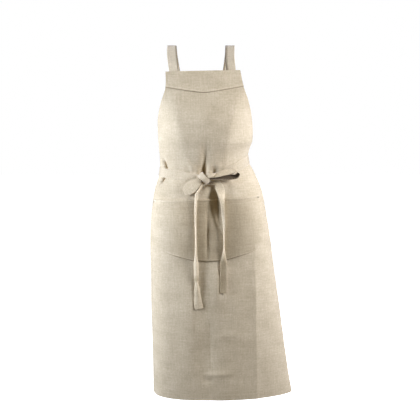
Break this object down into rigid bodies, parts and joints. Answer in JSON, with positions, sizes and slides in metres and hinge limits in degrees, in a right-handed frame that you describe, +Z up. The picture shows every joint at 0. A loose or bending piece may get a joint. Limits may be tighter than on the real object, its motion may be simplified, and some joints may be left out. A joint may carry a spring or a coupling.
{
  "type": "bistro apron",
  "caption": "Linen bib apron as worn: flaring skirt, patch pocket, crossed shoulder straps and waist ties that cross behind and tie in a bow at the front.",
  "frame": {"origin": "midway between the shoulder straps, at the height where their undersides rest on the wearer's shoulders", "axes": "+Z up along the wearer's height, -Y to the apron's front, +X to the right of someone looking at the front"},
  "size_m": [0.4384, 0.2398, 1.0653],
  "materials": {
    "linen": "natural linen, plain weave, matte",
    "linen_strap": "natural linen, folded and stitched, matte"
  },
  "bodies": {
    "root": {"apron_panel": "linen", "bib_band": "linen", "pocket": "linen", "shoulder_strap_left": "linen_strap", "shoulder_strap_right": "linen_strap", "waist_tie_left": "linen_strap", "waist_tie_right": "linen_strap", "bow_knot": "linen_strap", "bow_loop_left": "linen_strap", "bow_loop_right": "linen_strap", "tie_tail_left": "linen_strap", "tie_tail_right": "linen_strap"}
  },
  "joints": []
}
